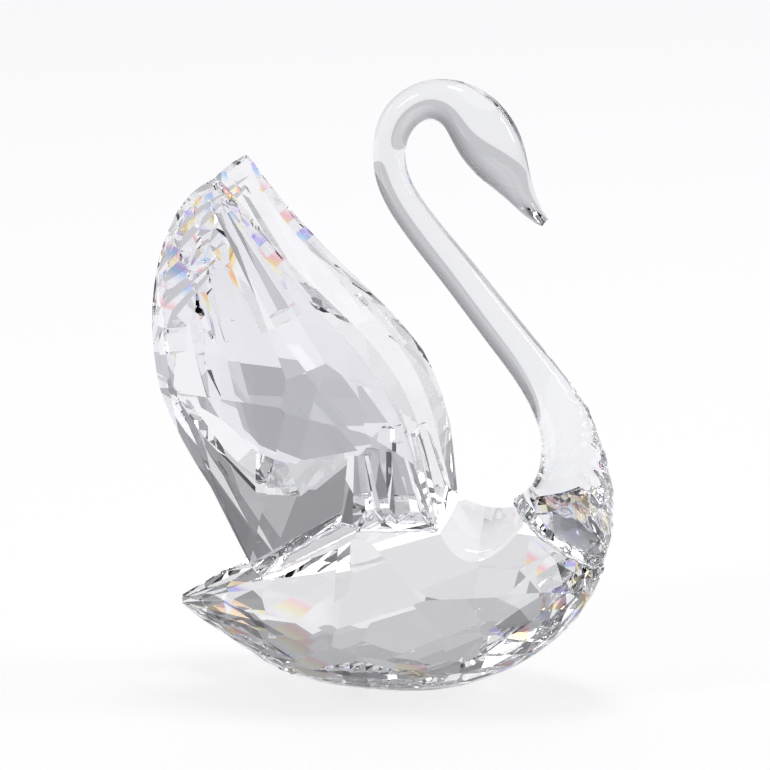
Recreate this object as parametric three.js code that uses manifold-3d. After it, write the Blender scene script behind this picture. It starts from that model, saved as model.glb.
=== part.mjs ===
// Crystal swan figurine: a faceted body on a flat foot, two faceted wings, and a smooth neck with its head.
// Millimetres, +Z up. The swan looks along +X, its right side is -Y, and the origin is under its foot.
import * as THREE from "three";
import { LoftGeometry } from "three/addons/geometries/LoftGeometry.js";
import { mergeVertices } from "three/addons/utils/BufferGeometryUtils.js";
import Module from "manifold-3d";

const wasm = await Module();
wasm.setup();

// Sizes are given for the swan's right side as [x, y, z] with y outwards, and both sides use them.

// The body's underside follows two half ellipsoids that share their middle, under a ridged roof.
const middleHeight = 28;
const breastReach = 38.8;
const sternReach = 44;
const halfWidth = 17;
const hullDepth = 29.4;
const tailTip = [-36.3, 0, 12.6];
const tailEnd = -35.8;

// Rows of facets under the girdle: how far each row looks down, how deep it is cut, and the stretch round
// the hull that it covers, in degrees from the bill.
const hullRows = [
  { down: 14, depth: 0, from: 10, to: 60, count: 4 },
  { down: 27, depth: 0.1, from: 0, to: 70, count: 6 },
  { down: 38, depth: 0.2, from: 8, to: 122, count: 10 },
  { down: 49, depth: 0.3, from: 0, to: 134, count: 12 },
  { down: 61, depth: 0.2, from: 6, to: 160, count: 12 },
  { down: 74, depth: 0.1, from: 0, to: 180, count: 10 },
];

// Rows of facets round the tail, on a blunt point that swells from its end towards the body: the shares of
// its length where the rows lie, and the turn between two facets of a row, in degrees.
const tailPoint = [-36.3, 0, 11.6];
const tailRoot = [-2, 0, 17];
const tailHalfWidth = 16.5;
const tailHalfHeight = 24.5;
const tailSwell = 0.22;
const tailRows = [0.1, 0.27, 0.46, 0.66, 0.88];
const tailTurn = 17;

// Corners of the large facets above the girdle.
const girdleTail = [-18, 9, 15.5];
const girdleLow = [-5, 15.5, 13.5];
const girdleMiddle = [11.2, 16.5, 20];
const girdleFront = [25, 12.5, 21.5];
const girdleBreast = [35, 6.5, 24];
const sideLow = [6, 12, 7];
const roofEdge = [-5, 10, 29.3];
const saddleEdge = [18.2, 10, 26.1];
const saddleFront = [28, 7.5, 28];

// The roof that carries the wings: a level ridge, then a ridge that falls to the tail.
const ridgeHeight = 36;
const roofTilt = 34;
const tailRidgeFall = 33.5;
const tailRoofTilt = 27;
const saddleRadius = 15;
const saddleLow = [20, 0, 32.6];
const saddleTilt = 34;
const saddleLength = 60;
const saddleSides = 64;

// The slanting cut at the breast that carries the neck.
const breastCut = [31.2, 0, 28.8];
const breastCutFall = 35.4;

const cementGap = 0.3;

// A wing's outline from the side, as x and z: curves with their two handles, then the feet.
const rearEdgePoints = [
  [-28.3, 89.2],
  [-38.9, 81],
  [-42.6, 56.5],
  [-27.5, 36],
];
const wingRearFoot = [-19.4, 18.3];
const wingFrontFoot = [12.2, 27];
const frontEdgePoints = [
  [8.4, 44.2],
  [8.4, 52.2],
  [-2, 63],
];
const tipEdgePoints = [
  [-9.6, 70.4],
  [-18, 76.6],
  [-25.2, 88.2],
];
const tipHandle = [-26.2, 90.4];
const outlineSteps = 16;
const wingInside = 3.5;
const wingOutside = 24;

// The inner face of a wing, and the flat faces of the hollow in it: a point on each one, and the way it looks.
const rim = 4.2;
const innerFace = { at: [-2, rim, 30], lean: 2 };
const hollowFaces = [
  { at: [-14, 11, 48], looks: [0, 0.987, 0.16] },
  { at: [-17, rim, 35], looks: [0, 0.77, -0.64] },
  { at: [-28, rim, 43], looks: [-0.5, 0.7, -0.5] },
  { at: [-7, rim, 40], looks: [0.45, 0.72, -0.52] },
  { at: [-38, rim, 62], looks: [-0.34, 0.93, 0.12] },
  { at: [-8, rim, 54], looks: [0.36, 0.9, 0.25] },
];

// The large facets outside a wing: a corner that each one passes through, and the way it looks.
const wingTipOutside = [-26.5, 10.2, 89];
const wingBulge = [-12, 18.6, 52];
const wingFacets = [
  { at: wingTipOutside, looks: [-0.1, 0.97, 0.2] },
  { at: wingTipOutside, looks: [-0.2, 0.96, 0.15] },
  { at: wingTipOutside, looks: [0.104, 0.951, 0.289] },
  { at: wingBulge, looks: [0.2, 0.97, 0.08] },
  { at: wingTipOutside, looks: [0.453, 0.74, 0.498] },
  { at: [0.1, 15.9, 54.5], looks: [0.42, 0.9, 0.12] },
  { at: wingBulge, looks: [0.091, 0.935, -0.342] },
  { at: wingBulge, looks: [-0.2, 0.93, -0.25] },
];

// Small facets along a wing's rear edge, as a row outside and a row inside.
const edgeFacets = { count: 11, slope: 38, outerDepth: 0.9, innerDepth: 0.7 };

// Rows of facets on a low pillow inside a wing's upper end: how far each row tilts, and the stretch round the
// pillow that it covers, in degrees from the front.
const pillowMiddle = [-24, 12.5, 70];
const pillowHalfSizes = [14.5, 8.5, 21];
const pillowRows = [
  { tilt: 26, from: 70, to: 184, count: 6 },
  { tilt: 38, from: 66, to: 184, count: 8 },
  { tilt: 49, from: 72, to: 180, count: 9 },
];

// Rows of straight grooves inside a wing, two that cross at its upper end and one at its front foot: the way
// each row leans from upright, where its first groove passes, how its other grooves step on, how far out the
// grooves reach at a height, and their length and slope.
const tipReach = { out: 8.7, height: 66 };
const footReach = { out: 6.6, height: 38 };
const grooveFall = 0.07;
const grooveDepth = 6;
const grooveStray = { step: 0.35, lean: 22, slope: -12 };
const goldenShare = 0.618;
const grooveRows = [
  { lean: -18, first: [-23.5, 76], step: [-4.2, -1.2], count: 4, bottom: tipReach, length: 28, slope: 43 },
  { lean: 48, first: [-30.5, 86], step: [-0.4, -4.1], count: 6, bottom: tipReach, length: 17, slope: 38 },
  { lean: -6, first: [7.5, 38], step: [-3.4, -0.6], count: 4, bottom: footReach, length: 15, slope: 52 },
];

// The neck's middle line from the breast to the bill, as stations: x, z, half depth and half width.
const neckStations = [
  [28.4, 25.0, 9.6, 7.6],
  [31.2, 30.2, 8.9, 7.6],
  [33.0, 35.6, 7.2, 6.8],
  [33.2, 42.0, 5.5, 5.6],
  [31.7, 48.4, 4.5, 4.7],
  [27.7, 55.4, 3.7, 3.9],
  [21.0, 63.8, 3.35, 3.5],
  [12.8, 73.8, 3.1, 3.2],
  [5.8, 82.2, 2.9, 3.0],
  [1.9, 89.0, 2.8, 2.9],
  [1.3, 94.4, 2.8, 2.9],
  [3.4, 99.8, 3.0, 3.0],
  [8.6, 102.8, 3.3, 3.4],
  [13.0, 101.9, 4.2, 4.1],
  [16.2, 99.2, 5.1, 4.7],
  [18.8, 95.5, 5.2, 4.9],
  [20.8, 92.4, 4.4, 4.4],
  [23.0, 89.0, 2.9, 3.4],
  [24.8, 86.3, 1.9, 2.8],
  [26.5, 84.2, 1.2, 2.4],
  [28.1, 82.8, 0.6, 1.9],
];
const neckRings = 84;
const neckSides = 24;

// Larger than the whole swan, for the blocks that are ground away.
const reach = 200;

const crystalColour = 0xe8ecf2;
const crystalRoughness = 0.05;

// Geometry to solid and back.
function toSolid(geometry) {
  const bare = new THREE.BufferGeometry().copy(geometry);
  bare.deleteAttribute("normal");
  bare.deleteAttribute("uv");
  const merged = mergeVertices(bare, 1e-5);
  const mesh = new wasm.Mesh({
    numProp: 3,
    vertProperties: new Float32Array(merged.attributes.position.array),
    triVerts: new Uint32Array(merged.index.array),
  });
  return new wasm.Manifold(mesh);
}

function toGeometry(solid) {
  const mesh = solid.getMesh();
  const geometry = new THREE.BufferGeometry();
  geometry.setAttribute("position", new THREE.BufferAttribute(new Float32Array(mesh.vertProperties), 3));
  geometry.setIndex(new THREE.BufferAttribute(new Uint32Array(mesh.triVerts), 1));
  geometry.computeVertexNormals();
  return geometry;
}

const radians = THREE.MathUtils.degToRad;
const rightSide = ([x, y, z]) => new THREE.Vector3(x, -y, z);
const leftSide = ([x, y, z]) => new THREE.Vector3(x, y, z);
const bothSides = [rightSide, leftSide];

// A direction from its angle round from the bill and its angle below the horizon.
function looking(around, down) {
  const level = Math.cos(radians(down));
  return [level * Math.cos(radians(around)), level * Math.sin(radians(around)), -Math.sin(radians(down))];
}

// Grinds away everything of a solid that lies beyond a flat face.
function grind(solid, point, normal) {
  const wheel = new THREE.BoxGeometry(reach, reach, reach).translate(0, 0, reach / 2);
  const up = new THREE.Vector3(0, 0, 1);
  const turn = new THREE.Quaternion().setFromUnitVectors(up, normal.clone().normalize());
  wheel.applyQuaternion(turn).translate(point.x, point.y, point.z);
  return solid.subtract(toSolid(wheel));
}

// The normal of the face through three corners, turned away from the inside of the body.
function faceNormal(a, b, c) {
  const normal = b.clone().sub(a).cross(c.clone().sub(a)).normalize();
  const outward = a.clone().sub(new THREE.Vector3(0, 0, middleHeight / 2));
  return normal.dot(outward) < 0 ? normal.negate() : normal;
}

// The point where an ellipsoid looks a given way.
function touchPoint(middle, halfSizes, looks) {
  const stretched = looks.map((part, i) => part * halfSizes[i]);
  const length = Math.hypot(...stretched);
  return middle.map((place, i) => place + (halfSizes[i] * stretched[i]) / length);
}

// The way that the hull looks at an angle round its plan, which is longer than it is wide.
function hullTurn(angle) {
  const length = angle < 90 ? breastReach : sternReach;
  const turn = Math.atan2(Math.sin(radians(angle)) / halfWidth, Math.cos(radians(angle)) / length);
  return THREE.MathUtils.radToDeg(turn);
}

// The point where the hull's underside looks a given way.
function hullPoint(looks) {
  const length = looks[0] > 0 ? breastReach : sternReach;
  return touchPoint([0, 0, middleHeight], [length, halfWidth, hullDepth], looks);
}

// A facet of the tail: where it touches the swelling point at a share of its length and a turn down from the
// side, and the way it looks there.
function tailFace(share, turn) {
  const length = Math.hypot(tailRoot[0] - tailPoint[0], tailRoot[2] - tailPoint[2]);
  const [alongX, alongZ] = [(tailRoot[0] - tailPoint[0]) / length, (tailRoot[2] - tailPoint[2]) / length];
  const girth = (1 + tailSwell) * share - tailSwell * share * share;
  const growth = (1 + tailSwell - 2 * tailSwell * share) / length;
  const sideways = Math.cos(radians(turn));
  const downward = Math.sin(radians(turn));
  const drop = tailHalfHeight * girth * downward;
  const at = [
    tailPoint[0] + alongX * length * share + alongZ * drop,
    tailHalfWidth * girth * sideways,
    tailPoint[2] + alongZ * length * share - alongX * drop,
  ];
  const fall = downward / tailHalfHeight;
  const looks = [alongZ * fall - alongX * growth, sideways / tailHalfWidth, -alongX * fall - alongZ * growth];
  return { at, looks };
}

// The two faces of the roof on one side: the level part and the fall to the tail.
function roofFaces(side) {
  const level = side([0, Math.sin(radians(roofTilt)), Math.cos(radians(roofTilt))]);
  const flat = Math.cos(radians(tailRoofTilt));
  const fall = radians(tailRidgeFall);
  const tail = side([-Math.sin(fall) * flat, Math.sin(radians(tailRoofTilt)), Math.cos(fall) * flat]);
  return [
    { at: new THREE.Vector3(0, 0, ridgeHeight), normal: level },
    { at: side(tailTip), normal: tail },
  ];
}

const breastNormal = new THREE.Vector3(Math.sin(radians(breastCutFall)), 0, Math.cos(radians(breastCutFall)));

function bodySolid() {
  let solid = toSolid(new THREE.BoxGeometry(reach, reach, reach).translate(0, 0, reach / 2));
  for (const side of bothSides) {
    for (const { down, depth, from, to, count } of hullRows) {
      for (let i = 0; i < count; i++) {
        const looks = looking(hullTurn(from + ((to - from) * i) / (count - 1)), down);
        const normal = side(looks);
        solid = grind(solid, side(hullPoint(looks)).addScaledVector(normal, -depth), normal);
      }
    }
    tailRows.forEach((share, row) => {
      for (let turn = row % 2 ? tailTurn / 2 : 1; turn < 90; turn += tailTurn) {
        const { at, looks } = tailFace(share, turn);
        solid = grind(solid, side(at), side(looks));
      }
    });
    const corners = [
      [girdleLow, girdleMiddle, sideLow],
      [girdleTail, girdleLow, roofEdge],
      [girdleLow, girdleMiddle, roofEdge],
      [girdleMiddle, girdleFront, saddleEdge],
      [girdleFront, girdleBreast, saddleFront],
    ];
    for (const [a, b, c] of corners) {
      solid = grind(solid, side(a), faceNormal(side(a), side(b), side(c)));
    }
    for (const { at, normal } of roofFaces(side)) {
      solid = grind(solid, at, normal);
    }
  }
  solid = grind(solid, new THREE.Vector3(tailEnd, 0, 0), new THREE.Vector3(-1, 0, 0));
  solid = grind(solid, new THREE.Vector3(...breastCut), breastNormal);
  for (const side of bothSides) {
    solid = solid.subtract(toSolid(saddleWheel(side)));
  }
  return solid;
}

// The round wheel that hollows the saddle on one side, between the wing and the neck.
function saddleWheel(side) {
  const along = side([0, Math.cos(radians(saddleTilt)), -Math.sin(radians(saddleTilt))]);
  const up = side([0, Math.sin(radians(saddleTilt)), Math.cos(radians(saddleTilt))]);
  const middle = new THREE.Vector3(...saddleLow).addScaledVector(up, saddleRadius);
  const turn = new THREE.Quaternion().setFromUnitVectors(new THREE.Vector3(0, 1, 0), along);
  const wheel = new THREE.CylinderGeometry(saddleRadius, saddleRadius, saddleLength, saddleSides);
  return wheel.applyQuaternion(turn).translate(middle.x, middle.y, middle.z);
}

// A wing seen from the side: the round rear edge, then the hollow front edge back up to the tip.
function wingOutline() {
  const outline = new THREE.Shape();
  outline.moveTo(...rearEdgePoints[0]);
  outline.bezierCurveTo(...rearEdgePoints.slice(1).flat());
  outline.lineTo(...wingRearFoot);
  outline.lineTo(wingFrontFoot[0], wingRearFoot[1]);
  outline.lineTo(...wingFrontFoot);
  outline.bezierCurveTo(...frontEdgePoints.flat());
  outline.bezierCurveTo(...tipEdgePoints.flat());
  outline.quadraticCurveTo(...tipHandle, ...rearEdgePoints[0]);
  outline.closePath();
  return outline;
}

// How far out a wing's large facets leave it at a place on its side view.
function wingOuterFace(x, z) {
  const reaches = wingFacets.map(({ at, looks }) => {
    const fall = looks[0] * (x - at[0]) + looks[2] * (z - at[2]);
    return at[1] - fall / looks[1];
  });
  return Math.min(...reaches);
}

// The inner face of a wing leans outwards towards the tip.
function wingInnerFace(z) {
  return innerFace.at[1] + (z - innerFace.at[2]) * Math.tan(radians(innerFace.lean));
}

// A groove with two sloping sides, open towards the other wing.
function groove(x, z, bottom, lean, length, slope) {
  const half = grooveDepth / Math.tan(radians(slope));
  const section = new THREE.Shape();
  section.moveTo(-half, -grooveDepth);
  section.lineTo(half, -grooveDepth);
  section.lineTo(0, 0);
  section.closePath();
  const prism = new THREE.ExtrudeGeometry(section, { depth: length, bevelEnabled: false });
  const rise = Math.cos(radians(lean));
  const along = new THREE.Vector3(Math.sin(radians(lean)), -grooveFall * rise, rise).normalize();
  const across = new THREE.Vector3(0, 1, 0).cross(along).normalize();
  const turn = new THREE.Matrix4().makeBasis(across, along.clone().cross(across), along);
  const out = bottom.out - grooveFall * (z - bottom.height);
  return prism.translate(0, 0, -length / 2).applyMatrix4(turn).translate(x, out, z);
}

// The left wing. The right one is its mirror image.
function wingSolid() {
  const depth = wingOutside - wingInside;
  const settings = { depth, bevelEnabled: false, curveSegments: outlineSteps };
  const blank = new THREE.ExtrudeGeometry(wingOutline(), settings);
  let solid = toSolid(blank.rotateX(Math.PI / 2).translate(0, wingOutside, 0));
  for (const { at, looks } of wingFacets) {
    solid = grind(solid, leftSide(at), leftSide(looks));
  }
  let seat = toSolid(new THREE.BoxGeometry(reach, reach, reach));
  for (const { at, normal } of roofFaces(leftSide)) {
    seat = grind(seat, at.clone().addScaledVector(normal, cementGap), normal);
  }
  solid = solid.subtract(seat);
  const slope = radians(edgeFacets.slope);
  const level = Math.sin(slope);
  const rearEdge = new THREE.CubicBezierCurve(...rearEdgePoints.map(([x, z]) => new THREE.Vector2(x, z)));
  for (let i = 0; i < edgeFacets.count; i++) {
    const t = (i + 0.5) / edgeFacets.count;
    const { x, y: z } = rearEdge.getPoint(t);
    const along = rearEdge.getTangent(t);
    const away = new THREE.Vector2(along.y, -along.x);
    const outer = new THREE.Vector3(x, wingOuterFace(x, z) - edgeFacets.outerDepth, z);
    const inner = new THREE.Vector3(x, wingInnerFace(z) + edgeFacets.innerDepth, z);
    solid = grind(solid, outer, new THREE.Vector3(away.x * level, Math.cos(slope), away.y * level));
    solid = grind(solid, inner, new THREE.Vector3(away.x * level, -Math.cos(slope), away.y * level));
  }
  for (const { tilt, from, to, count } of pillowRows) {
    for (let i = 0; i < count; i++) {
      const angle = radians(from + ((to - from) * i) / (count - 1));
      const lean = Math.sin(radians(tilt));
      const looks = [lean * Math.cos(angle), -Math.cos(radians(tilt)), lean * Math.sin(angle)];
      solid = grind(solid, leftSide(touchPoint(pillowMiddle, pillowHalfSizes, looks)), leftSide(looks));
    }
  }
  const lean = radians(innerFace.lean);
  solid = grind(solid, leftSide(innerFace.at), new THREE.Vector3(0, -Math.cos(lean), Math.sin(lean)));
  let hollow = toSolid(new THREE.BoxGeometry(reach, reach, reach));
  for (const { at, looks } of hollowFaces) {
    hollow = grind(hollow, leftSide(at), leftSide(looks));
  }
  solid = solid.subtract(hollow);
  for (const { lean: turn, first, step, count, bottom, length, slope: sides } of grooveRows) {
    for (let i = 0; i < count; i++) {
      const stray = ((i * goldenShare) % 1) - 0.5;
      const [x, z] = first.map((start, k) => start + step[k] * (i + stray * grooveStray.step));
      const slant = turn + stray * grooveStray.lean;
      const cut = groove(x, z, bottom, slant, length, sides + stray * grooveStray.slope);
      solid = solid.subtract(toSolid(cut));
    }
  }
  return solid;
}

// The neck and head: rings round a smooth line, each ring an ellipse square to it.
function neckSolid() {
  const line = new THREE.CatmullRomCurve3(neckStations.map(([x, z]) => new THREE.Vector3(x, 0, z)));
  const girth = new THREE.CatmullRomCurve3(neckStations.map(([, , d, w]) => new THREE.Vector3(d, w, 0)));
  const sections = [];
  for (let i = 0; i <= neckRings; i++) {
    const t = i / neckRings;
    const middle = line.getPoint(t);
    const ahead = line.getTangent(t);
    const outward = new THREE.Vector3(ahead.z, 0, -ahead.x);
    const { x: depth, y: width } = girth.getPoint(t);
    const ring = [];
    for (let j = 0; j < neckSides; j++) {
      const angle = (j / neckSides) * Math.PI * 2;
      const point = middle.clone().addScaledVector(outward, depth * Math.cos(angle));
      point.y += width * Math.sin(angle);
      ring.push(point);
    }
    sections.push(ring);
  }
  const solid = toSolid(new LoftGeometry(sections, { capStart: true, capEnd: true }));
  const seat = new THREE.Vector3(...breastCut).addScaledVector(breastNormal, cementGap);
  return grind(solid, seat, breastNormal.clone().negate());
}

function crystal(name, geometry) {
  const finish = { color: crystalColour, roughness: crystalRoughness, metalness: 0 };
  const material = new THREE.MeshStandardMaterial(finish);
  const mesh = new THREE.Mesh(geometry, material);
  mesh.name = name;
  return mesh;
}

const swan = new THREE.Group();
const leftWing = toGeometry(wingSolid());
swan.add(crystal("body", toGeometry(bodySolid())));
swan.add(crystal("wing_left", leftWing));
const rightWing = crystal("wing_right", leftWing.clone());
rightWing.scale.y = -1;
swan.add(rightWing);
swan.add(crystal("neck_and_head", toGeometry(neckSolid())));

export default swan;
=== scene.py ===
# Crystal swan figurine, lit in a small studio.
import math

import bmesh
import bpy
import numpy as np
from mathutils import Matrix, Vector


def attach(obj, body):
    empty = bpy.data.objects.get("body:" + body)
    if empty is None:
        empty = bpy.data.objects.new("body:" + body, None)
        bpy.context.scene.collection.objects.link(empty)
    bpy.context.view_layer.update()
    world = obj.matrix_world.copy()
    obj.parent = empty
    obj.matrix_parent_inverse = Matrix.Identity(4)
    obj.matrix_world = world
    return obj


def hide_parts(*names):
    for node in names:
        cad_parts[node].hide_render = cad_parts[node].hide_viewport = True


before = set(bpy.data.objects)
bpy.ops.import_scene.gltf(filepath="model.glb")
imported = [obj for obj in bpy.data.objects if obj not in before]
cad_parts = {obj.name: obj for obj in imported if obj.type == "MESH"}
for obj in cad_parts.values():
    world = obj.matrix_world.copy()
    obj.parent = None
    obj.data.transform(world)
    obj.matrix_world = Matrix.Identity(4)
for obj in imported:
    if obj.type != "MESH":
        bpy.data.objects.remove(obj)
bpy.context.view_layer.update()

scene = bpy.context.scene
print("frame loaded:", ", ".join(sorted(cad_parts)))


# A socket in a node tree: operators add Math nodes, and node() adds any other node.
class Wire:
    def __init__(self, tree, socket=None):
        self.tree, self.socket = tree, socket

    def node(self, kind, settings=None, sockets=None, output=0):
        made = self.tree.nodes.new(kind)
        for name, value in (settings or {}).items():
            if name == "stops":
                self.setStops(made.color_ramp.elements, value)
            else:
                setattr(made, name, value)
        for name, value in (sockets or {}).items():
            if isinstance(value, Wire):
                self.tree.links.new(value.socket, made.inputs[name])
            else:
                made.inputs[name].default_value = value
        return Wire(self.tree, made.outputs[output] if made.outputs else None)

    def setStops(self, elements, stops):
        while len(elements) < len(stops):
            elements.new(1)
        for element, (place, colour) in zip(elements, stops):
            element.position, element.color = place, (*colour, 1)

    def maths(self, operation, *values):
        return self.node("ShaderNodeMath", {"operation": operation}, dict(enumerate((self, *values))))

    # a Mix node takes its two colours at sockets 6 and 7, and gives the mixed one at 2
    def mixed(self, first, second, share, blend="MIX"):
        return self.node("ShaderNodeMix", {"data_type": "RGBA", "blend_type": blend}, {
            "Factor": share, 6: first, 7: second,
        }, output=2)

    def __add__(self, other):
        return self.maths("ADD", other)

    def __mul__(self, other):
        return self.maths("MULTIPLY", other)


def newTree(owner):
    owner.use_nodes = True
    owner.node_tree.nodes.clear()
    return Wire(owner.node_tree)


def addPiece(name, mesh):
    piece = bpy.data.objects.new(name, mesh)
    scene.collection.objects.link(piece)
    return piece


# crystal: clear, a little grey, with facets darkened by painted shade for dark reflections, and facets
# painted with a short spectrum, painted fire that stands for coloured glints
crystalLook = {
    "roughness": 0.0,
    # how strongly each piece bends light, and its colour
    "body": (1.545, (0.98, 0.982, 0.995, 1)),
    "wing": (1.37, (0.98, 0.98, 1, 1)),
    "neck": (1.545, (0.925, 0.93, 0.95, 1)),
    "stub": (1.22, (0.98, 0.98, 1, 1)),
    # painted fire: the spectrum colours painted on facets as coloured glints, how long each repeat is, and its
    # slant
    "spectrumLength": 0.0095,
    "spectrumSlant": (0.35, 0.25, 0.9),
    "spectrumStops": (
        (0.0, (0.95, 0.95, 0.97)), (0.16, (0.22, 0.50, 1.0)), (0.26, (0.45, 0.28, 1.0)),
        (0.38, (0.95, 0.95, 1.0)), (0.52, (1.0, 0.92, 0.30)), (0.64, (1.0, 0.52, 0.14)),
        (0.74, (1.0, 0.32, 0.42)), (0.88, (0.95, 0.95, 0.97)),
    ),
}


# On a facet with painted fire, a painted coloured glint, the spectrum repeats along a slanting line, from a
# start of the facet's own.
def makeCrystal(name, bending, colour):
    material = bpy.data.materials.new(name)
    tree = newTree(material)
    facet = tree.node("ShaderNodeVertexColor", {"layer_name": "facet"})
    paintedFire, paintedShade, start = (
        tree.node("ShaderNodeSeparateColor", None, {0: facet}, output=part)
        for part in ("Red", "Green", "Blue")
    )
    place = tree.node("ShaderNodeTexCoord", output="Object")
    along = tree.node("ShaderNodeVectorMath", {"operation": "DOT_PRODUCT"}, {
        0: place, 1: crystalLook["spectrumSlant"],
    }, output="Value")
    turn = (along * (1 / crystalLook["spectrumLength"]) + start).maths("FRACT")
    spectrum = tree.node("ShaderNodeValToRGB", {"stops": crystalLook["spectrumStops"]}, {"Fac": turn})
    # painted shade: each facet's random tone times its painted shade greys the glass colour
    paintedShadeGrey = tree.node("ShaderNodeCombineColor", None, {0: paintedShade, 1: paintedShade, 2: paintedShade})
    clear = tree.mixed(colour, paintedShadeGrey, 1.0, "MULTIPLY")
    glass = tree.node("ShaderNodeBsdfPrincipled", None, {
        "Base Color": tree.mixed(clear, spectrum, paintedFire),
        "Roughness": crystalLook["roughness"],
        "IOR": bending,
        "Transmission Weight": 1.0,
    })
    tree.node("ShaderNodeOutputMaterial", None, {"Surface": glass})
    return material


def makeCement():
    material = bpy.data.materials.new("clear cement film")
    tree = newTree(material)
    film = tree.node("ShaderNodeBsdfTransparent")
    tree.node("ShaderNodeOutputMaterial", None, {"Surface": film})
    return material


bodyCrystal = makeCrystal("cut body crystal", *crystalLook["body"])
wingCrystal = makeCrystal("cut wing crystal", *crystalLook["wing"])
neckCrystal = makeCrystal("polished neck crystal", *crystalLook["neck"])
stubCrystal = makeCrystal("sealed crystal", *crystalLook["stub"])
cementFilm = makeCement()


def cornerArrays(mesh):
    starts = np.empty(len(mesh.polygons), np.int32)
    totals = np.empty(len(mesh.polygons), np.int32)
    mesh.polygons.foreach_get("loop_start", starts)
    mesh.polygons.foreach_get("loop_total", totals)
    corners = np.empty(len(mesh.loops), np.int32)
    mesh.loops.foreach_get("vertex_index", corners)
    points = np.empty(len(mesh.vertices) * 3)
    mesh.vertices.foreach_get("co", points)
    return starts, totals, points.reshape(-1, 3)[corners]


# facet paint: a painted fire row (spectrum colours as painted glints) or a painted shade row (darkening
# that stands for dark reflections) of a piece gives a box's two corners in millimetres with y outwards, the
# share of the facets in it that are painted, their largest area in square millimetres, and how strong the
# painted fire is or how much light the shaded facets keep
facetPaint = {
    "scrambleSlant": (12.9898, 7.8233, 3.7719),
    "scrambleTimes": 4375.85,
    # the scramble is spread again for each use, so that one doesn't follow the other
    "startTimes": 97,
    "varietyTimes": 31,
    "paintedShadeTimes": 53,
}
anyArea = math.inf


# Each facet gets three values: how much painted fire it has, how clear it is under its random tone and its
# painted shade, and where its spectrum starts.
# A fixed scramble of the facet's middle, the loose digits of a large sine, picks the painted ones of a box.
def paintFacets(mesh, paintedFire=(), paintedShade=(), variety=0.0):
    starts, totals, places = cornerArrays(mesh)
    areas = np.empty(len(starts))
    mesh.polygons.foreach_get("area", areas)
    smooth = np.zeros(len(starts), bool)
    mesh.polygons.foreach_get("use_smooth", smooth)
    middles = np.add.reduceat(places, starts) / totals[:, None] * 1000
    middles[:, 1] = np.abs(middles[:, 1])
    waves = np.sin(middles @ facetPaint["scrambleSlant"])
    scramble = np.modf(np.abs(waves * facetPaint["scrambleTimes"]))[0]

    def spread(use):
        return np.modf(scramble * facetPaint[use])[0]

    def insideBox(low, high, largest):
        return np.all((middles > low) & (middles < high), axis=1) & (areas * 1e6 < largest)

    values = np.ones((len(starts), 4))
    values[:, 0] = 0
    values[:, 1] = 1 - variety * spread("varietyTimes") * ~smooth
    values[:, 2] = spread("startTimes")
    # painted shade: the picked facets of each painted shade box are darkened, standing for dark reflections
    for low, high, share, largest, clear in paintedShade:
        values[insideBox(low, high, largest) & (spread("paintedShadeTimes") < share), 1] *= clear
    # painted fire: the picked facets of each painted fire box get spectrum colours as painted glints
    for low, high, share, largest, strength in paintedFire:
        values[insideBox(low, high, largest) & (scramble < share), 0] = strength
    layer = mesh.color_attributes.new("facet", "FLOAT_COLOR", "CORNER")
    layer.data.foreach_set("color", np.repeat(values, totals, axis=0).astype(np.float32).ravel())


# cut pieces: the solids of the frame, joined into whole facets, with crisp edges
cutting = {
    "merge": 1e-6,
    "flatWithin": math.radians(0.4),
    "roundWithin": 1e-4,
    # how near a face lies to the cemented plane: on it, or on the other side of the cement
    "onPlane": 2e-5,
    "pastCement": 4e-4,
}


def copyNode(node, name, material):
    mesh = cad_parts[node].data.copy()
    mesh.name = name
    work = bmesh.new()
    work.from_mesh(mesh)
    bmesh.ops.remove_doubles(work, verts=work.verts, dist=cutting["merge"])
    bmesh.ops.dissolve_limit(work, angle_limit=cutting["flatWithin"], verts=work.verts, edges=work.edges)
    work.to_mesh(mesh)
    work.free()
    for layer in ("custom_normal", "sharp_face"):
        if layer in mesh.attributes:
            mesh.attributes.remove(mesh.attributes[layer])
    mesh.materials.clear()
    mesh.materials.append(material)
    mesh.materials.append(cementFilm)
    return addPiece(name, mesh)


# Facets whose corners all lie at a radius from a line are its round cut, and are shaded smooth.
def smoothRoundCut(mesh, radius, offsets):
    starts, _, places = cornerArrays(mesh)
    miss = np.abs(np.linalg.norm(offsets(places), axis=1) - radius)
    worst = np.maximum.reduceat(miss, starts)
    smooth = np.zeros(len(starts), bool)
    mesh.polygons.foreach_get("use_smooth", smooth)
    smooth |= worst < cutting["roundWithin"]
    mesh.polygons.foreach_set("use_smooth", smooth)


def makeFlat(mesh):
    mesh.polygons.foreach_set("use_smooth", np.zeros(len(mesh.polygons), bool))


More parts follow.
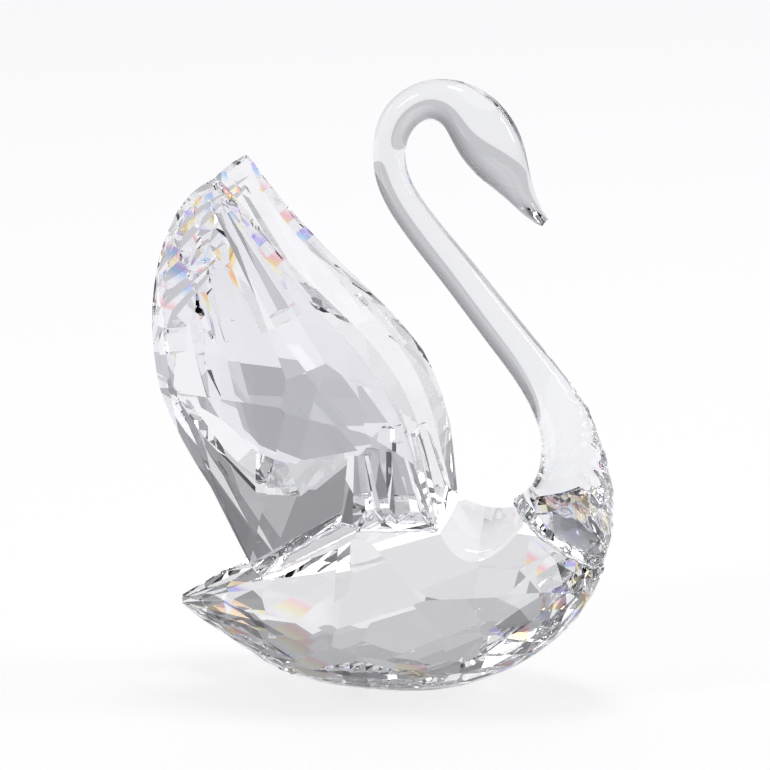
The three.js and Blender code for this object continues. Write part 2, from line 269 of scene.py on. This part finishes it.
# the body: the saddle between wing and neck is round, all else is flat facets
bodyShape = {
    "saddleRadius": 0.015,
    "saddleLow": (0.020, 0.0326),
    "saddleTilt": math.radians(34),
    "seatPoint": (0.0312, 0.0, 0.0288),
    "seatFall": math.radians(35.4),
    "ridgeHeight": 0.036,
    "roofTilt": math.radians(34),
    "tailTip": (-0.0363, 0, 0.0126),
    "tailRidgeFall": math.radians(33.5),
    "tailRoofTilt": math.radians(27),
    # small facets of the tail and the breast are cut again into low pyramids, where they look down and out:
    # the upward part of their normal lies between these two
    "fineLooks": (-0.95, 0),
    "fineBehind": -0.0145,
    "fineAhead": 0.0225,
    "fineLargest": 50e-6,
    "fineHeight": 0.00028,
    # painted fire: spectrum colours as painted glints on small facets of the tail, the lowest rows and the
    # breast
    "paintedFire": (
        ((-40, 0, 0.5), (-14, 20, 16), 0.20, 12, 0.85),
        ((-14, 0, 0.5), (20, 20, 9), 0.14, 30, 0.55),
        ((20, 0, 0.5), (40, 20, 26), 0.22, 14, 0.85),
    ),
    # painted shade: facets darkened to stand for dark reflections, all of one box on the side and some small
    # facets at the breast, the tail and the lowest rows
    "paintedShade": (
        ((-6, 9, 17), (9, 18, 28), 1.0, anyArea, 0.86),
        ((20, 0, 2), (40, 20, 26), 0.22, 14, 0.3),
        ((-40, 0, 0), (-12, 20, 17), 0.30, 14, 0.18),
        ((-14, 0, 0), (20, 20, 7), 0.20, 30, 0.22),
    ),
    "variety": 0.26,
}
seatNormal = np.array((math.sin(bodyShape["seatFall"]), 0, math.cos(bodyShape["seatFall"])))


# Faces of a piece that lie on the slanting seat of the neck carry the cement film.
def cementSeat(mesh, within):
    starts, _, places = cornerArrays(mesh)
    heights = (places - bodyShape["seatPoint"]) @ seatNormal
    onSeat = np.maximum.reduceat(np.abs(heights), starts) < within
    mesh.polygons.foreach_set("material_index", onSeat.astype(np.int32))


def cutFinely(mesh):
    work = bmesh.new()
    work.from_mesh(mesh)
    lowest, highest = bodyShape["fineLooks"]
    fine = []
    for face in work.faces:
        middle = face.calc_center_median()
        atEnd = middle.x < bodyShape["fineBehind"] or middle.x > bodyShape["fineAhead"]
        if atEnd and lowest < face.normal.z < highest and face.calc_area() < bodyShape["fineLargest"]:
            fine.append(face)
    bmesh.ops.poke(work, faces=fine, offset=bodyShape["fineHeight"])
    work.to_mesh(mesh)
    work.free()


def makeBody():
    piece = copyNode("body", "cut_body", bodyCrystal)
    mesh = piece.data
    cutFinely(mesh)
    makeFlat(mesh)
    tilt, radius = bodyShape["saddleTilt"], bodyShape["saddleRadius"]
    lowX, lowZ = bodyShape["saddleLow"]
    for side in (-1, 1):
        up = np.array((0, side * math.sin(tilt), math.cos(tilt)))
        axis = np.array((0, side * math.cos(tilt), -math.sin(tilt)))
        middle = np.array((lowX, 0, lowZ)) + radius * up

        def fromAxis(places):
            away = places - middle
            return away - np.outer(away @ axis, axis)

        smoothRoundCut(mesh, radius, fromAxis)
    cementSeat(mesh, cutting["onPlane"])
    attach(piece, "root")
    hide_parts("body")
    return mesh


# the wings: a faceted hollow inside, grooves at the upper end whose sparkle is partly painted fire, flutes
# at the front foot
wingShape = {
    # painted fire: spectrum colours as painted glints on small facets at the upper end, the rear and the front
    # foot
    "paintedFire": (
        ((-45, 0, 60), (-8, 20, 95), 0.34, 14, 0.95),
        ((-45, 0, 18), (-20, 20, 60), 0.30, 8, 0.8),
        ((-20, 0, 18), (14, 20, 60), 0.20, 8, 0.7),
    ),
    # painted shade: the wing's lower inner facets darkened to stand for dark reflections
    "paintedShade": (((-40, 0, 18), (-8, 8.5, 36), 1.0, anyArea, 0.6),),
    "variety": 0.10,
}


def makeWing(node, name):
    piece = copyNode(node, name, wingCrystal)
    makeFlat(piece.data)
    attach(piece, "root")
    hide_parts(node)
    return piece.data


# The two faces of the roof on one side, as a point and the way each looks.
def roofFaces(side):
    tilt, tailTilt, fall = (bodyShape[name] for name in ("roofTilt", "tailRoofTilt", "tailRidgeFall"))
    level = Vector((0, side * math.sin(tilt), math.cos(tilt)))
    flat = math.cos(tailTilt)
    tail = Vector((-math.sin(fall) * flat, side * math.sin(tailTilt), math.cos(fall) * flat))
    return (Vector((0, 0, bodyShape["ridgeHeight"])), level), (Vector(bodyShape["tailTip"]), tail)


# A place is inside an outline when a line from it along x crosses the outline an odd number of times.
def insideOutline(place, outline):
    x, y = np.array(outline)[:, :2].T
    nextX, nextY = np.roll(x, -1), np.roll(y, -1)
    crossed = (y > place.y) != (nextY > place.y)
    rise = np.where(crossed, nextY - y, 1)
    return np.count_nonzero(crossed & (x + (place.y - y) / rise * (nextX - x) > place.x)) % 2 == 1


# A wing's foot is cemented to the roof: its lower faces carry the cement film, and so does the roof under
# them, which is first cut along every line of the foot's outline. The outlines come back with the way the
# roof looks.
def cementWing(bodyMesh, wingMesh, side):
    work = bmesh.new()
    work.from_mesh(bodyMesh)
    outlines = []
    for point, normal in roofFaces(side):
        def onRoof(corners, within):
            return all(abs((corner - point).dot(normal)) < within for corner in corners)

        def roofOf(faces):
            return [face for face in faces if onRoof([corner.co for corner in face.verts], cutting["onPlane"])]

        for polygon in wingMesh.polygons:
            corners = [wingMesh.vertices[index].co for index in polygon.vertices]
            if not onRoof(corners, cutting["pastCement"]):
                continue
            polygon.material_index = 1
            outline = [corner - normal * (corner - point).dot(normal) for corner in corners]
            for here, there in zip(outline, outline[1:] + outline[:1]):
                roof = roofOf(work.faces)
                parts = list(dict.fromkeys(part for face in roof for part in (face, *face.edges, *face.verts)))
                across = (there - here).cross(normal)
                bmesh.ops.bisect_plane(
                    work, geom=parts, dist=cutting["merge"], plane_co=here, plane_no=across,
                )
            for face in roofOf(work.faces):
                if insideOutline(face.calc_center_median(), outline):
                    face.material_index = 1
            outlines.append((np.array(outline), np.array(normal)))
    work.to_mesh(bodyMesh)
    work.free()
    return outlines


# Rows of points, each row a closed ring, become bands of quads.
def ringQuads(rows, columns, closed):
    row, step = np.meshgrid(np.arange(rows if closed else rows - 1), np.arange(columns), indexing="ij")
    nextRow, nextStep = (row + 1) % rows, (step + 1) % columns
    corners = (
        row * columns + step, row * columns + nextStep, nextRow * columns + nextStep, nextRow * columns + step,
    )
    return np.stack(corners, axis=-1).reshape(-1, 4).tolist()


# A new mesh with all its faces turned outwards.
def outwardMesh(name, points, faces):
    mesh = bpy.data.meshes.new(name)
    mesh.from_pydata(points.tolist(), [], faces)
    work = bmesh.new()
    work.from_mesh(mesh)
    bmesh.ops.recalc_face_normals(work, faces=work.faces)
    work.to_mesh(mesh)
    work.free()
    return mesh


# the neck and head
neckShape = {
    # x, z, half depth and half width along the middle line, in millimetres
    "stations": (
        (28.4, 25.0, 9.6, 7.6), (31.2, 30.2, 8.9, 7.6), (33.0, 35.6, 7.2, 6.8), (33.2, 42.0, 5.5, 5.6),
        (31.7, 48.4, 4.5, 4.7), (27.7, 55.4, 3.7, 3.9), (21.0, 63.8, 3.35, 3.5), (12.8, 73.8, 3.1, 3.2),
        (5.8, 82.2, 2.9, 3.0), (1.9, 89.0, 2.8, 2.9), (1.3, 94.4, 2.8, 2.9), (3.4, 99.8, 3.0, 3.0),
        (8.6, 102.8, 3.3, 3.4), (13.0, 101.9, 4.2, 4.1), (16.2, 99.2, 5.1, 4.7), (18.8, 95.5, 5.2, 4.9),
        (20.8, 92.4, 4.4, 4.4), (23.0, 89.0, 2.9, 3.4), (24.8, 86.3, 1.9, 2.8), (26.5, 84.2, 1.2, 2.4),
        (28.1, 82.8, 0.6, 1.9),
    ),
    "rings": 460,
    "sides": 112,
    "gap": 0.0003,
    # how far up the neck the seat is looked for, and in how many steps
    "seatSearch": 0.2,
    "seatTrials": 200,
    "rippleHeight": 0.00013,
    "rippleFrom": 0.02,
    "rippleTo": 0.28,
    "rippleTurn": 1.6,
    # waves per unit up the neck, around it, and where each starts
    "ripples": (
        (95, 4, 0.3), (140, -7, 1.1), (185, 11, 2.9), (240, -5, 4.0), (60, 9, 5.2), (310, 14, 0.9),
    ),
}


# A smooth line through the stations: on each stretch a cubic whose bends agree with its neighbours, straight
# at both ends, found by solving for all the bends at once.
def smoothThrough(knots, values, at):
    steps = np.diff(knots)
    rises = np.diff(values, axis=0) / steps[:, None]
    count = len(knots)
    system = np.eye(count)
    inner = np.arange(1, count - 1)
    system[inner, inner - 1] = steps[:-1]
    system[inner, inner] = 2 * (steps[:-1] + steps[1:])
    system[inner, inner + 1] = steps[1:]
    wanted = np.zeros_like(values)
    wanted[1:-1] = 6 * np.diff(rises, axis=0)
    bends = np.linalg.solve(system, wanted)
    cell = np.clip(np.searchsorted(knots, at, side="right") - 1, 0, count - 2)
    length = steps[cell][..., None]
    left = (knots[cell + 1] - at)[..., None] / length
    done = 1 - left
    bent = ((left ** 3 - left) * bends[cell] + (done ** 3 - done) * bends[cell + 1]) * length ** 2 / 6
    return left * values[cell] + done * values[cell + 1] + bent


# Low ripples in the glass at the front of the neck's foot: crossing trains of sine waves that fade out up the
# neck and towards the sides.
def neckRipple(along, around):
    start, end = neckShape["rippleFrom"], neckShape["rippleTo"]
    rising = np.clip((along - start) / (end - start), 0, 1)
    turn = np.mod(around + np.pi, 2 * np.pi) - np.pi
    sideways = np.clip(turn / neckShape["rippleTurn"], -1, 1)
    fade = np.sin(np.pi * np.sqrt(rising)) * np.cos(sideways * np.pi / 2)
    waves = sum(np.sin(rise * along + swing * turn + shift) for rise, swing, shift in neckShape["ripples"])
    return neckShape["rippleHeight"] * fade * waves


# Each ring is an ellipse square to the middle line: middle + depth * cos * outward + width * sin * sideways.
def neckSurface(along, around):
    stations = np.array(neckShape["stations"]) * 0.001
    line = stations[:, :2]
    knots = np.concatenate(((0,), np.cumsum(np.linalg.norm(np.diff(line, axis=0), axis=1))))
    at = along * knots[-1]
    middle = smoothThrough(knots, line, at)
    reach = smoothThrough(knots, stations[:, 2:], at) + neckRipple(along, around)[..., None]
    nudge = 1e-6
    ahead = smoothThrough(knots, line, at + nudge) - smoothThrough(knots, line, at - nudge)
    ahead /= np.linalg.norm(ahead, axis=-1, keepdims=True)
    out = reach[..., 0] * np.cos(around)
    x = middle[..., 0] + ahead[..., 1] * out
    z = middle[..., 1] - ahead[..., 0] * out
    return np.stack((x, reach[..., 1] * np.sin(around), z), axis=-1)


# How far up the neck each line leaves the seat: the first trial above it, brought back by a straight line.
def neckStart(around):
    trials, last = neckShape["seatTrials"], neckShape["seatSearch"]
    trial = neckSurface(*np.meshgrid(np.linspace(0, last, trials), around, indexing="ij"))
    heights = (trial - bodyShape["seatPoint"]) @ seatNormal - neckShape["gap"]
    first = np.argmax(heights > 0, axis=0)
    below = heights[first - 1, np.arange(len(around))]
    above = heights[first, np.arange(len(around))]
    return (first - above / (above - below)) * last / (trials - 1)


def makeNeck():
    rings, sides = neckShape["rings"], neckShape["sides"]
    around = np.linspace(0, 2 * np.pi, sides, endpoint=False)
    start = neckStart(around)
    along = start + (1 - start) * np.linspace(0, 1, rings)[:, None]
    points = neckSurface(along, np.broadcast_to(around, along.shape)).reshape(-1, 3)
    ends = [list(range(sides))[::-1], list(range((rings - 1) * sides, rings * sides))]
    mesh = outwardMesh("polished_neck_and_head", points, ringQuads(rings, sides, False) + ends)
    mesh.materials.append(neckCrystal)
    mesh.materials.append(cementFilm)
    smooth = np.ones(len(mesh.polygons), bool)
    smooth[-len(ends):] = False
    mesh.polygons.foreach_set("use_smooth", smooth)
    piece = addPiece("polished_neck_and_head", mesh)
    cementSeat(mesh, cutting["pastCement"])
    paintFacets(mesh)
    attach(piece, "root")
    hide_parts("neck_and_head")


# the facets sealed in the neck's foot: rings inside its surface, joined by flat cuts into one faceted stub
stubShape = {
    # how far up the neck, the share of the neck's width, and the turn
    "levels": ((0.003, 0.70, 0.1), (0.026, 0.66, 0.5), (0.050, 0.42, 0.0), (0.068, 0.12, 0.4)),
    "forward": (0.0015, 0, 0),
    "sides": 7,
    # painted fire and painted shade: some sealed facets get spectrum colours as painted glints, some are
    # darkened for dark reflections
    "paintedFire": (((0, 0, 0), (60, 20, 60), 0.35, anyArea, 0.5),),
    "paintedShade": (((0, 0, 0), (60, 20, 60), 0.3, anyArea, 0.6),),
    "variety": 0.1,
}


# The tightest skin of flat faces around all the rings' points.
def makeStub():
    points = []
    for rise, share, turn in stubShape["levels"]:
        around = np.linspace(0, 2 * np.pi, stubShape["sides"], endpoint=False) + turn
        ring = neckSurface(neckStart(around) + rise, around)
        middle = ring.mean(axis=0)
        points.append(middle + share * (ring - middle) + stubShape["forward"])
    mesh = bpy.data.meshes.new("sealed_facets")
    mesh.from_pydata(np.concatenate(points).tolist(), [], [])
    work = bmesh.new()
    work.from_mesh(mesh)
    hull = bmesh.ops.convex_hull(work, input=work.verts)
    bmesh.ops.delete(work, geom=hull["geom_interior"], context="VERTS")
    bmesh.ops.recalc_face_normals(work, faces=work.faces)
    work.to_mesh(mesh)
    work.free()
    mesh.materials.append(stubCrystal)
    piece = addPiece("sealed_facets", mesh)
    paintFacets(mesh, stubShape["paintedFire"], stubShape["paintedShade"], stubShape["variety"])
    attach(piece, "root")


# the cement beads: thin uneven rings where the neck and the wings meet the body, and droplets above the neck's
beadShape = {
    "radius": 0.00030,
    # how many swellings around the bead, how large, and where they start
    "waves": ((6, 0.25, 0.4), (11, 0.22, 1.9), (23, 0.18, 3.1)),
    "sections": 480,
    "sides": 12,
    "wingStep": 0.0003,
    "shortest": 0.004,
    # how far round the neck and up it, both as shares, and the radius
    "droplets": (
        (0.62, 0.006, 0.00042), (0.655, 0.010, 0.00030), (0.70, 0.004, 0.00036), (0.725, 0.030, 0.00040),
        (0.76, 0.052, 0.00052), (0.775, 0.062, 0.00034), (0.80, 0.007, 0.00030), (0.86, 0.012, 0.00038),
        (0.91, 0.005, 0.00034), (0.40, 0.006, 0.00036), (0.28, 0.010, 0.00032), (0.12, 0.005, 0.00036),
    ),
    "dropletSteps": 14,
}


# A bead is a round profile carried along a closed path, with a radius that swells and shrinks by sine waves.
def sweepBead(path, up):
    ahead = np.roll(path, -1, axis=0) - np.roll(path, 1, axis=0)
    ahead /= np.linalg.norm(ahead, axis=1, keepdims=True)
    outward = np.cross(ahead, up)
    turn = np.linspace(0, 2 * np.pi, len(path), endpoint=False)
    swell = 1 + sum(size * np.sin(count * turn + shift) for count, size, shift in beadShape["waves"])
    radius = beadShape["radius"] * swell
    profile = np.linspace(0, 2 * np.pi, beadShape["sides"], endpoint=False)
    ring = np.cos(profile)[:, None] * outward[:, None] + np.sin(profile)[:, None] * up
    points = path[:, None] + radius[:, None, None] * ring
    return points.reshape(-1, 3), ringQuads(len(path), beadShape["sides"], True)


# A droplet is a small ball: rings of radius sin(latitude) at height cos(latitude), closed by two flat ends.
def dropletBall(middle, size):
    steps = beadShape["dropletSteps"]
    latitude = (np.arange(steps) + 0.5) / steps * np.pi
    longitude = np.linspace(0, 2 * np.pi, steps, endpoint=False)
    wide = np.sin(latitude)[:, None]
    high = np.cos(latitude)[:, None] * np.ones(steps)
    ball = np.stack((wide * np.cos(longitude), wide * np.sin(longitude), high), axis=-1).reshape(-1, 3)
    ends = [list(range(steps)), list(range(steps * (steps - 1), steps * steps))]
    return middle + size * ball, ringQuads(steps, steps, False) + ends


def addBead(name, parts, material):
    points, faces = [], []
    for partPoints, partFaces in parts:
        start = sum(map(len, points))
        points.append(partPoints)
        faces += [[start + corner for corner in face] for face in partFaces]
    mesh = outwardMesh(name, np.concatenate(points), faces)
    mesh.materials.append(material)
    mesh.polygons.foreach_set("use_smooth", np.ones(len(mesh.polygons), bool))
    piece = addPiece(name, mesh)
    paintFacets(mesh)
    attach(piece, "root")


def makeNeckBead():
    around = np.linspace(0, 2 * np.pi, beadShape["sections"], endpoint=False)
    parts = [sweepBead(neckSurface(neckStart(around), around), seatNormal)]
    for turn, rise, size in beadShape["droplets"]:
        angle = np.array((turn * 2 * np.pi,))
        parts.append(dropletBall(neckSurface(neckStart(angle) + rise, angle), size))
    addBead("neck_bead", parts, neckCrystal)


# The path follows a foot's outline in even short steps along each of its sides.
def makeWingBead(name, outlines):
    parts = []
    for outline, normal in outlines:
        sides = np.roll(outline, -1, axis=0) - outline
        lengths = np.linalg.norm(sides, axis=1)
        if lengths.sum() < beadShape["shortest"]:
            continue
        counts = np.maximum(np.ceil(lengths / beadShape["wingStep"]).astype(int), 1)
        share = np.concatenate([np.arange(count) / count for count in counts])
        path = np.repeat(outline, counts, axis=0) + np.repeat(sides, counts, axis=0) * share[:, None]
        parts.append(sweepBead(path, normal))
    addBead(name, parts, wingCrystal)


body = makeBody()
wings = {-1: makeWing("wing_right", "right_wing"), 1: makeWing("wing_left", "left_wing")}
for side, wing in wings.items():
    makeWingBead(f"{wing.name}_bead", cementWing(body, wing, side))
    paintFacets(wing, wingShape["paintedFire"], wingShape["paintedShade"], wingShape["variety"])
paintFacets(body, bodyShape["paintedFire"], bodyShape["paintedShade"], bodyShape["variety"])
makeNeck()
makeStub()
makeNeckBead()
print("crystal pieces made")


# studio: a white floor under a grey sky, with cards outside the picture that the crystal alone sees
studio = {
    "floorReach": 3.0,
    "floorColour": (0.9, 0.9, 0.9, 1),
    "floorGlow": 0.655,
    # y from and to, and how light
    "cards": (("dark_card", (-3.0, -0.19), 0.03), ("grey_card", (0.50, 3.0), 0.66)),
    "cardHeight": 0.002,
    "cardBlue": 1.03,
    # the sky by height, by depth from the camera's side to the back, and from left to right
    "skyStops": (
        (0.0, (0.72, 0.72, 0.74)), (0.2, (0.63, 0.63, 0.65)), (0.5, (0.48, 0.48, 0.50)),
        (0.8, (0.36, 0.36, 0.38)), (1.0, (0.30, 0.30, 0.32)),
    ),
    "depthStops": ((0.2, (0.22, 0.22, 0.23)), (0.42, (1, 1, 1))),
    "sideStops": (
        (0.1, (0.7, 0.7, 0.71)), (0.25, (1, 1, 1)), (0.37, (1, 1, 1)), (0.48, (0.92, 0.92, 0.93)),
        (0.6, (0.74, 0.74, 0.75)), (0.74, (0.56, 0.56, 0.57)), (1.0, (0.26, 0.26, 0.27)),
    ),
    # place, width and height, and power
    "lamps": (
        ("top lamp", (0.0, 0.1, 1.0), (0.25, 0.2), 0.7),
        ("left lamp", (-0.9, -0.7, 0.7), (0.15, 0.5), 1.2),
        ("right lamp", (1.0, 0.3, 0.6), (0.15, 0.5), 1.2),
    ),
    "lampAim": (0, 0, 0.05),
}


def makeSheet(name, near, far, height):
    wide = studio["floorReach"]
    mesh = bpy.data.meshes.new(name)
    corners = [(-wide, near, height), (wide, near, height), (wide, far, height), (-wide, far, height)]
    mesh.from_pydata(corners, [], [(0, 1, 2, 3)])
    sheet = addPiece(name, mesh)
    return sheet


def makeFloor():
    floor = makeSheet("studio_floor", -studio["floorReach"], studio["floorReach"], 0)
    material = bpy.data.materials.new("white paper")
    tree = newTree(material)
    white = tree.node("ShaderNodeBsdfPrincipled", None, {
        "Base Color": studio["floorColour"], "Roughness": 1.0, "Specular IOR Level": 0.0,
        "Emission Color": (1, 1, 1, 1), "Emission Strength": studio["floorGlow"],
    })
    tree.node("ShaderNodeOutputMaterial", None, {"Surface": white})
    floor.data.materials.append(material)


def makeCards():
    for name, (near, far), light in studio["cards"]:
        card = makeSheet(name, near, far, studio["cardHeight"])
        material = bpy.data.materials.new(name)
        tree = newTree(material)
        glow = tree.node("ShaderNodeEmission", None, {"Color": (light, light, light * studio["cardBlue"], 1)})
        tree.node("ShaderNodeOutputMaterial", None, {"Surface": glow})
        card.data.materials.append(material)
        card.visible_camera = card.visible_diffuse = card.visible_shadow = False


# The sky's three ramps are multiplied. Depth and side run from -1 to 1, and are brought to 0 to 1.
def makeSky():
    scene.world = bpy.data.worlds.new("studio sky")
    tree = newTree(scene.world)
    looks = tree.node("ShaderNodeTexCoord", output="Generated")

    def ramp(axis, stops):
        reach = tree.node("ShaderNodeSeparateXYZ", None, {0: looks}, output=axis)
        share = reach if axis == "Z" else reach * 0.5 + 0.5
        return tree.node("ShaderNodeValToRGB", {"stops": studio[stops]}, {"Fac": share})

    shade = tree.mixed(ramp("Z", "skyStops"), ramp("Y", "depthStops"), 1.0, "MULTIPLY")
    shade = tree.mixed(shade, ramp("X", "sideStops"), 1.0, "MULTIPLY")
    light = tree.node("ShaderNodeBackground", None, {"Color": shade})
    tree.node("ShaderNodeOutputWorld", None, {"Surface": light})


def makeLamps():
    for name, place, (wide, high), power in studio["lamps"]:
        lamp = bpy.data.lights.new(name, "AREA")
        lamp.shape = "RECTANGLE"
        lamp.size, lamp.size_y, lamp.energy = wide, high, power
        holder = bpy.data.objects.new(name, lamp)
        holder.location = place
        towards = Vector(studio["lampAim"]) - holder.location
        holder.rotation_euler = towards.to_track_quat("-Z", "Y").to_euler()
        scene.collection.objects.link(holder)


makeFloor()
makeCards()
makeSky()
makeLamps()
print("studio lit")


# camera: aim point, and where that point falls in the picture
view = {
    "aim": (0.002, 0, 0.052),
    "azimuth": math.radians(14),
    "elevation": math.radians(15),
    "distance": 0.8,
    "pixelsPerMetre": 5880,
    "aimPixel": (393.5, 391),
    "picture": 770,
    "nearest": 0.01,
    # how often light is followed through the crystal
    "bounces": {"max_bounces": 24, "transmission_bounces": 24, "glossy_bounces": 8},
}


def makeCamera():
    azimuth, elevation = view["azimuth"], view["elevation"]
    level = math.cos(elevation)
    back = Vector((math.sin(azimuth) * level, -math.cos(azimuth) * level, math.sin(elevation)))
    lens = bpy.data.cameras.new("camera")
    lens.lens = lens.sensor_width * view["distance"] * view["pixelsPerMetre"] / view["picture"]
    lens.shift_x = (view["picture"] / 2 - view["aimPixel"][0]) / view["picture"]
    lens.shift_y = (view["aimPixel"][1] - view["picture"] / 2) / view["picture"]
    lens.clip_start = view["nearest"]
    holder = bpy.data.objects.new("camera", lens)
    holder.location = Vector(view["aim"]) + back * view["distance"]
    holder.rotation_euler = (-back).to_track_quat("-Z", "Y").to_euler()
    scene.collection.objects.link(holder)
    scene.camera = holder


makeCamera()
scene.view_settings.view_transform = "Standard"
for limit, count in view["bounces"].items():
    setattr(scene.cycles, limit, count)
print("camera set")
